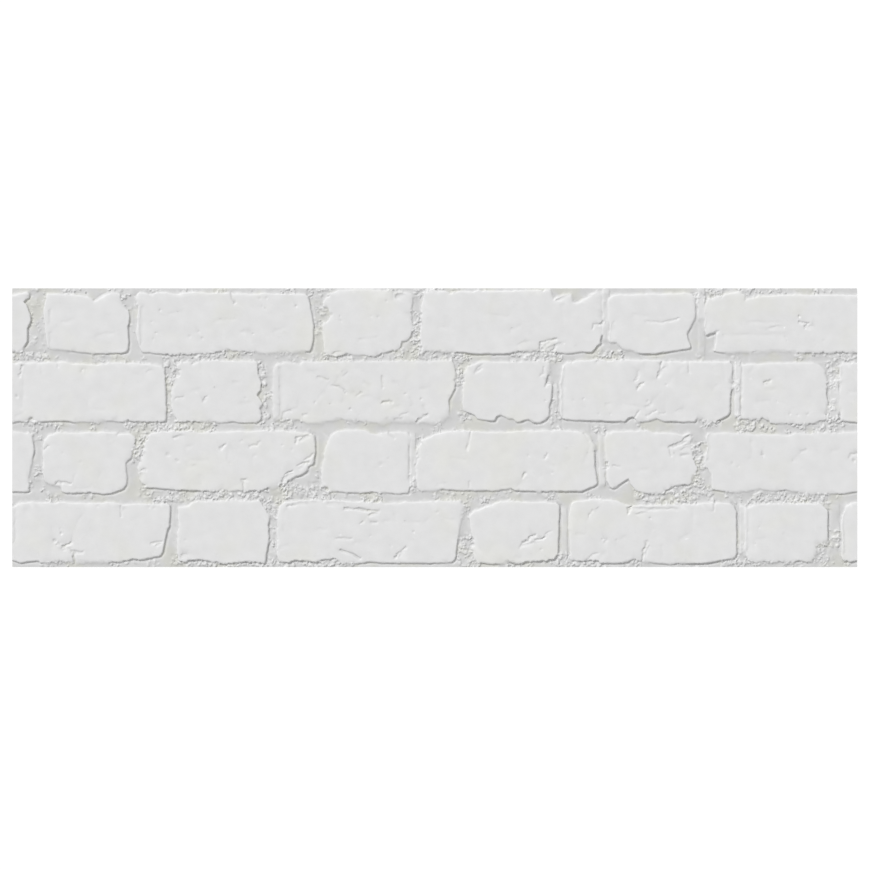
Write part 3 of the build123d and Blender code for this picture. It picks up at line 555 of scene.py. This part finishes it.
def crumbs(mask):
    """Sandy crumbs: small ragged lumps with steep sides, strewn where the mask is strong."""
    random = np.random.default_rng(81)
    count = int(tile_length * tile_height * CRUMBS_PER_MM2)
    places = random.uniform((0, 0), (tile_length, tile_height), (count, 2))
    # Reach, width as a share of it, turn and height of each crumb
    forms = random.uniform((0.0, 0.35, 0.0, 0.3), (1.0, 0.75, math.pi, 1.0), (count, 4))
    forms[:, 0] = CRUMB_REACH + CRUMB_REACH_MORE * forms[:, 0] ** 2
    at_column = (places[:, 0] / tile_length * (columns - 1)).astype(int)
    at_row = ((1 - places[:, 1] / tile_height) * (rows - 1)).astype(int)
    sandiness = mask[at_row, at_column]
    patchy = ramp(noise(places[:, 0], places[:, 1], size=7, seed=84), -0.7, 0.2)
    kept = random.uniform(0, 1, count) < sandiness * patchy
    lumps = np.zeros(grid_x.shape)
    bend_x, bend_y = (0.5 * noise(grid_x, grid_y, size=2.2, seed=seed) for seed in (82, 83))
    for (x, y), (reach, wide, turn, tall), strength in zip(places[kept], forms[kept], sandiness[kept]):
        near = window(x, y, x, y, margin=reach)
        right, low = across[near] - x + bend_x[near], down[near] - y + bend_y[near]
        along, aside = turned(right, low, turn)
        outward = (along / reach) ** 2 + (aside / (wide * reach)) ** 2
        lump = min(strength, 1) * tall * (1 - np.minimum(outward, 1) ** 1.5)
        lumps[near] = np.maximum(lumps[near], lump)
    return CRUMB_HEIGHT * lumps


# Marks cut into the face

def cut_groove(depth, run, shaded_reach, sunlit_reach, deep):
    """Cuts a ragged groove along a run of points, with one reach on each of its sides."""
    run = np.array(run, dtype=float)
    near = window(*run.min(axis=0), *run.max(axis=0), margin=2 * max(shaded_reach, sunlit_reach) + 1)
    x, y = across[near], down[near]
    wander = 0.7 * noise(x, y, size=5, seed=101) + 0.7 * noise(x, y, size=2, seed=103)
    offset_x, offset_y = offset_from_runs(x + wander, y + wander, run)
    reach = np.where(offset_x + offset_y > 0, sunlit_reach, shaded_reach)
    fade = 0.85 + 0.4 * noise(x, y, size=6, seed=102)
    groove = bell(np.hypot(offset_x, offset_y), reach)
    depth[near] = np.maximum(depth[near], deep * fade * groove)


def cut_lines(depth):
    """Cuts each crack, scratch and step."""
    for width, deep, runs in (DEEP_CRACKS, CRACKS, SCRATCHES):
        for run in runs:
            cut_groove(depth, run, 0.8 * width, 1.7 * width, 1.5 * deep)
    step_run, step_depth, steps = STEPS
    for run in steps:
        cut_groove(depth, run, 0.7, step_run, step_depth)


def cut_dents(depth):
    """Cuts the faint dents: short grooves of any slant, strewn at random."""
    random = np.random.default_rng(141)
    lowest = (0, 0, -3.0, -1.5, 0.03, 0.8)
    highest = (tile_length, tile_height, 3.0, 1.5, 0.1, 1.8)
    for x, y, half_x, half_y, deep, width in random.uniform(lowest, highest, (FAINT_DENTS, 6)):
        cut_groove(depth, ((x - half_x, y - half_y), (x + half_x, y + half_y)), width, 1.5 * width, deep)


def cut_pits(depth):
    """Cuts each pit, round with a ragged rim."""
    for x, y, radius, deep in PITS:
        near = window(x, y, x, y, margin=2.5 * radius)
        rim = 1 + 0.3 * noise(across[near], down[near], size=2.5, seed=111)
        away = np.hypot(across[near] - x, down[near] - y) * rim
        depth[near] = np.maximum(depth[near], 1.7 * deep * bell(away, radius, power=3))


def cut_chips(depth):
    """Cuts each chip: a ragged oval that slopes the way that it looks."""
    for x, y, length, width, turn, looks, deep in CHIPS:
        near = window(x, y, x, y, margin=length)
        right, up = across[near] - x, y - down[near]
        bend_x, bend_y = (0.8 * noise(right, up, size=4, seed=seed) for seed in (121, 122))
        right, up = right + bend_x, up + bend_y
        along, aside = turned(right, up, math.radians(turn))
        reach = np.sqrt((along / (length / 2)) ** 2 + (aside / (width / 2)) ** 2)
        downhill, _ = turned(right, up, math.radians(looks))
        slope = np.clip(0.5 + downhill / width, 0, 1)
        depth[near] = np.maximum(depth[near], 1.9 * deep * slope * (1 - ramp(reach, 0.8, 1.1)))


sandy = grit_mask()
sharpness = side_sharpness()
brick_depth, brick_number = brick_depths(sharpness, sandy)
leftward, rightward, downward = side_facings(brick_depth)
share = brick_share(sharpness)
marks = np.zeros(grid_x.shape)
for cut in (cut_lines, cut_dents, cut_pits, cut_chips):
    cut(marks)

heights = joint_floor + (joint_floor_waves(sharpness) - SANDY_DROP * ramp(sandy, 0.3, 1.0)) * (1 - share)
heights += share * (brick_tops[brick_number] - joint_floor - FACE_DROP + face_waves(sharpness))
heights += crumbs(sandy) * (1 - ramp(share, 0.4, 0.9))
heights -= marks * (0.4 + 0.6 * ramp(share, 0.1, 0.6))
heights = np.clip(heights, joint_floor - DEEPEST, tile_top)


# Mesh

def thinned_face():
    """The height field as a mesh of triangles, thinned most where it is flattest."""
    count = columns * rows
    mesh = bpy.data.meshes.new("face_grid")
    mesh.vertices.add(count)
    mesh.vertices.foreach_set("co", np.stack((grid_x, grid_y, heights), axis=-1).reshape(-1))
    numbers = np.arange(count).reshape(rows, columns)
    lower_left = numbers[:-1, :-1].reshape(-1)
    quads = np.stack((lower_left, lower_left + 1, lower_left + columns + 1, lower_left + columns), axis=-1)
    mesh.loops.add(quads.size)
    mesh.loops.foreach_set("vertex_index", quads.reshape(-1))
    mesh.polygons.add(len(quads))
    mesh.polygons.foreach_set("loop_start", np.arange(len(quads)) * 4)
    mesh.update(calc_edges=True)
    grid = bpy.data.objects.new("face_grid", mesh)
    bpy.context.collection.objects.link(grid)
    # The points on the rim stay, so that the sides fit the face
    inner = numbers[1:-1, 1:-1].reshape(-1)
    grid.vertex_groups.new(name="thinned").add(inner.tolist(), 1.0, "REPLACE")
    thin = grid.modifiers.new("thin", "DECIMATE")
    thin.vertex_group = "thinned"
    thin.ratio = FACE_TRIANGLES / (2 * len(quads))
    thin.use_collapse_triangulate = True
    thinned = bpy.data.meshes.new_from_object(grid.evaluated_get(bpy.context.evaluated_depsgraph_get()))
    bpy.data.objects.remove(grid)
    bpy.data.meshes.remove(mesh)
    corner_points = np.empty(len(thinned.vertices) * 3)
    thinned.vertices.foreach_get("co", corner_points)
    corners = np.empty(len(thinned.loops), dtype=np.int32)
    thinned.loops.foreach_get("vertex_index", corners)
    corner_points = corner_points.reshape(-1, 3)
    corner_points[:, 2] = np.minimum(corner_points[:, 2], tile_top)
    return corner_points, corners.reshape(-1, 3)


def back_of_solid():
    """The solid's own back with its pockets and bevel, and the height where the bevel ends."""
    on_end = abs(points[:, 0]) > tile_length / 2 - TOUCH
    arris = points[on_end & (points[:, 2] < joint_floor - 1), 2].max()
    low = (points[triangles][:, :, 2] < arris + TOUCH).all(axis=1)
    used, renumbered = np.unique(triangles[low], return_inverse=True)
    return points[used], renumbered.reshape(-1, 3), arris


def side_faces(corners, on_face, arris):
    """The four straight sides, each one face between the rim of the relief and the bevel's edge."""
    half = (tile_length / 2, tile_height / 2)
    sides = []
    for axis, sign in ((0, -1), (1, -1), (0, 1), (1, 1)):
        here = abs(corners[:, axis] - sign * half[axis]) < 2 * TOUCH
        along = corners[:, 1 - axis]
        top = np.flatnonzero(here & on_face)
        bottom = np.flatnonzero(here & ~on_face & (abs(corners[:, 2] - arris) < TOUCH))
        top, bottom = top[np.argsort(along[top])], bottom[np.argsort(along[bottom])]
        ring = list(top[::-1]) + list(bottom)
        sides.append(ring if (axis == 0) == (sign == 1) else ring[::-1])
    return sides


def tile_mesh():
    """The face, the sides and the back as one closed mesh in metres."""
    face_points, face_triangles = thinned_face()
    back_points, back_triangles, arris = back_of_solid()
    corners = np.vstack((face_points, back_points))
    on_face = np.arange(len(corners)) < len(face_points)
    sides = side_faces(corners, on_face, arris)
    faces = [list(t) for t in face_triangles] + sides
    faces += [list(t) for t in back_triangles + len(face_points)]
    mesh = bpy.data.meshes.new("relief_tile")
    mesh.from_pydata((corners * MM).tolist(), [], faces)
    smooth_faces = np.zeros(len(faces), dtype=bool)
    smooth_faces[: len(face_triangles)] = True
    mesh.polygons.foreach_set("use_smooth", smooth_faces)
    biscuit = np.zeros(len(faces), dtype=np.int32)
    biscuit[len(face_triangles) + len(sides) :] = 1
    mesh.polygons.foreach_set("material_index", biscuit)
    ends = np.empty(2 * len(mesh.edges), dtype=np.int32)
    mesh.edges.foreach_get("vertices", ends)
    on_rim = (abs(corners[:, :2]) > np.array((tile_length / 2, tile_height / 2)) - 2 * TOUCH).any(axis=1)
    mesh.edges.foreach_set("use_edge_sharp", (on_rim | ~on_face)[ends].reshape(-1, 2).all(axis=1))
    mesh.update()
    return mesh


# Materials

BRICK_WHITE, BRICK_WARM = (0.745, 0.745, 0.747), (0.742, 0.742, 0.718)
# The joint greys are partly the mortar's own tone and partly painted shade for the joints and other low
# places
JOINT_GREY_AND_SHADE, JOINT_WARM_AND_SHADE = (0.636, 0.636, 0.636), (0.628, 0.628, 0.592)
CLAY_BROWN, CLAY_PALE = (0.60, 0.50, 0.42), (0.68, 0.58, 0.49)
FLOOR_DARK, FLOOR_PALE = (0.05, 0.05, 0.05), (0.06, 0.06, 0.06)


def new_material(name):
    """A material, its nodes, its shader and each point's place on the object."""
    material = bpy.data.materials.new(name)
    material.use_nodes = True
    tree = material.node_tree
    shader = tree.nodes["Principled BSDF"]
    place = tree.nodes.new("ShaderNodeTexCoord").outputs["Object"]
    return material, tree, shader, place


def noise_node(tree, place, size, detail=3.0):
    """Noise with blobs about size metres across."""
    node = tree.nodes.new("ShaderNodeTexNoise")
    node.inputs["Scale"].default_value = 1 / size
    node.inputs["Detail"].default_value = detail
    tree.links.new(place, node.inputs["Vector"])
    return node.outputs["Fac"]


def range_node(tree, value, from_low, from_high, to_low=0.0, to_high=1.0):
    """Maps one range of values to another, and clips what is beyond it."""
    node = tree.nodes.new("ShaderNodeMapRange")
    node.inputs["From Min"].default_value = from_low
    node.inputs["From Max"].default_value = from_high
    node.inputs["To Min"].default_value = to_low
    node.inputs["To Max"].default_value = to_high
    tree.links.new(value, node.inputs["Value"])
    return node.outputs["Result"]


def colour_mix(tree, share, low, high):
    """Mixes two colours, each given as a colour or as another node's output."""
    node = tree.nodes.new("ShaderNodeMix")
    node.data_type = "RGBA"
    tree.links.new(share, node.inputs["Factor"])
    for socket, colour in ((node.inputs["A"], low), (node.inputs["B"], high)):
        if isinstance(colour, tuple):
            socket.default_value = (*colour, 1)
        else:
            tree.links.new(colour, socket)
    return node.outputs["Result"]


def maths(tree, operation, first, second):
    """Adds or multiplies the outputs of two nodes."""
    node = tree.nodes.new("ShaderNodeMath")
    node.operation = operation
    tree.links.new(first, node.inputs[0])
    tree.links.new(second, node.inputs[1])
    return node.outputs["Value"]


def bump(tree, shader, height, strength, distance):
    """Gives the shader a bumpy surface, distance metres high where the height is 1."""
    node = tree.nodes.new("ShaderNodeBump")
    node.inputs["Strength"].default_value = strength
    node.inputs["Distance"].default_value = distance
    tree.links.new(height, node.inputs["Height"])
    tree.links.new(node.outputs["Normal"], shader.inputs["Normal"])


def white_glaze():
    """Matt white glaze: clean on the bricks, and greyer in the joints and other low places, partly the
    mortar's own tone and partly painted shade. Faintly uneven all over.
    """
    material, tree, shader, place = new_material("white_glaze")
    split = tree.nodes.new("ShaderNodeSeparateXYZ")
    tree.links.new(place, split.inputs["Vector"])
    # Everything low takes the joint grey, partly the mortar's tone and partly painted shade: the joints, the
    # brick feet and the deep cracks and pits
    on_brick = range_node(tree, split.outputs["Z"], (joint_floor + 0.4) * MM, (joint_floor + 1.5) * MM)
    warm_brick = range_node(tree, noise_node(tree, place, size=0.06), 0.52, 0.68)
    brick = colour_mix(tree, warm_brick, BRICK_WHITE, BRICK_WARM)
    cloudy = range_node(tree, noise_node(tree, place, size=0.014), 0.25, 0.75, 0.965, 1.03)
    warm_joint = range_node(tree, noise_node(tree, place, size=0.03), 0.5, 0.62)
    joint = colour_mix(tree, warm_joint, JOINT_GREY_AND_SHADE, JOINT_WARM_AND_SHADE)
    shade = tree.nodes.new("ShaderNodeVectorMath")
    shade.operation = "SCALE"
    tree.links.new(colour_mix(tree, on_brick, joint, brick), shade.inputs["Vector"])
    tree.links.new(cloudy, shade.inputs["Scale"])
    tree.links.new(shade.outputs["Vector"], shader.inputs["Base Color"])
    roughness = range_node(tree, noise_node(tree, place, size=0.006), 0.3, 0.7, 0.5, 0.62)
    tree.links.new(roughness, shader.inputs["Roughness"])
    # Dimples up to 0.16 mm and grain up to 0.03 mm high
    uneven = range_node(tree, noise_node(tree, place, size=0.05), 0.35, 0.65, 0.00004, 0.00016)
    dimples = maths(tree, "MULTIPLY", noise_node(tree, place, size=0.009, detail=2.0), uneven)
    grain = range_node(tree, noise_node(tree, place, size=0.0016, detail=2.0), 0.0, 1.0, 0.0, 0.00003)
    bump(tree, shader, maths(tree, "ADD", dimples, grain), strength=1.0, distance=1.0)
    return material


def bare_biscuit():
    """Unglazed pressed clay of the back."""
    material, tree, shader, place = new_material("bare_biscuit")
    clay = colour_mix(tree, noise_node(tree, place, size=0.02, detail=5.0), CLAY_BROWN, CLAY_PALE)
    tree.links.new(clay, shader.inputs["Base Color"])
    shader.inputs["Roughness"].default_value = 0.85
    bump(tree, shader, noise_node(tree, place, size=0.0012, detail=4.0), strength=0.5, distance=0.0002)
    return material


def floor_white():
    """A plain floor that glows white, so that shadows hardly show on it."""
    material, tree, shader, place = new_material("floor_white")
    shade = colour_mix(tree, noise_node(tree, place, size=0.3), FLOOR_DARK, FLOOR_PALE)
    tree.links.new(shade, shader.inputs["Base Color"])
    shader.inputs["Roughness"].default_value = 0.9
    shader.inputs["Emission Color"].default_value = (1, 1, 1, 1)
    shader.inputs["Emission Strength"].default_value = 1.0
    return material


# The tile

tile = bpy.data.objects.new("relief_tile", tile_mesh())
tile.data.materials.append(white_glaze())
tile.data.materials.append(bare_biscuit())
bpy.context.collection.objects.link(tile)
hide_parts("tile")
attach(tile, "root")


# Floor, light and camera

def add_floor(size, drop):
    """A square floor round the origin, a little below the tile's back."""
    mesh = bpy.data.meshes.new("floor")
    half = size / 2
    corners = [(-half, -half, -drop), (half, -half, -drop), (half, half, -drop), (-half, half, -drop)]
    mesh.from_pydata(corners, [], [(0, 1, 2, 3)])
    mesh.materials.append(floor_white())
    floor = bpy.data.objects.new("floor", mesh)
    bpy.context.collection.objects.link(floor)


def add_sun(strength, azimuth, elevation, spread):
    """A soft sun: azimuth in degrees from +X towards +Y, elevation above the tile's face."""
    light = bpy.data.lights.new("sun", "SUN")
    light.energy = strength
    light.angle = math.radians(spread)
    sun = bpy.data.objects.new("sun", light)
    sun.rotation_euler = (0, math.radians(90 - elevation), math.radians(azimuth))
    bpy.context.collection.objects.link(sun)


def add_white_world(strength):
    """Even white light from all round."""
    world = bpy.data.worlds.new("studio")
    world.use_nodes = True
    background = world.node_tree.nodes["Background"]
    background.inputs["Color"].default_value = (1, 1, 1, 1)
    background.inputs["Strength"].default_value = strength
    bpy.context.scene.world = world


def add_camera(pictured_width, centre, lens=200.0, sensor=36.0):
    """Looks straight down on the tile through a long lens. The width and centre are in millimetres."""
    camera_data = bpy.data.cameras.new("camera")
    camera_data.lens = lens
    camera_data.sensor_width = sensor
    camera = bpy.data.objects.new("camera", camera_data)
    camera.location = (centre[0] * MM, centre[1] * MM, (pictured_width * lens / sensor + tile_top) * MM)
    bpy.context.collection.objects.link(camera)
    bpy.context.scene.camera = camera


add_floor(size=8.0, drop=0.0004)
add_sun(strength=2.39, azimuth=126, elevation=43, spread=20)
add_white_world(strength=0.484)
bpy.context.scene.view_settings.view_transform = "Standard"
add_camera(pictured_width=1029.2, centre=(0.3, -8.65))
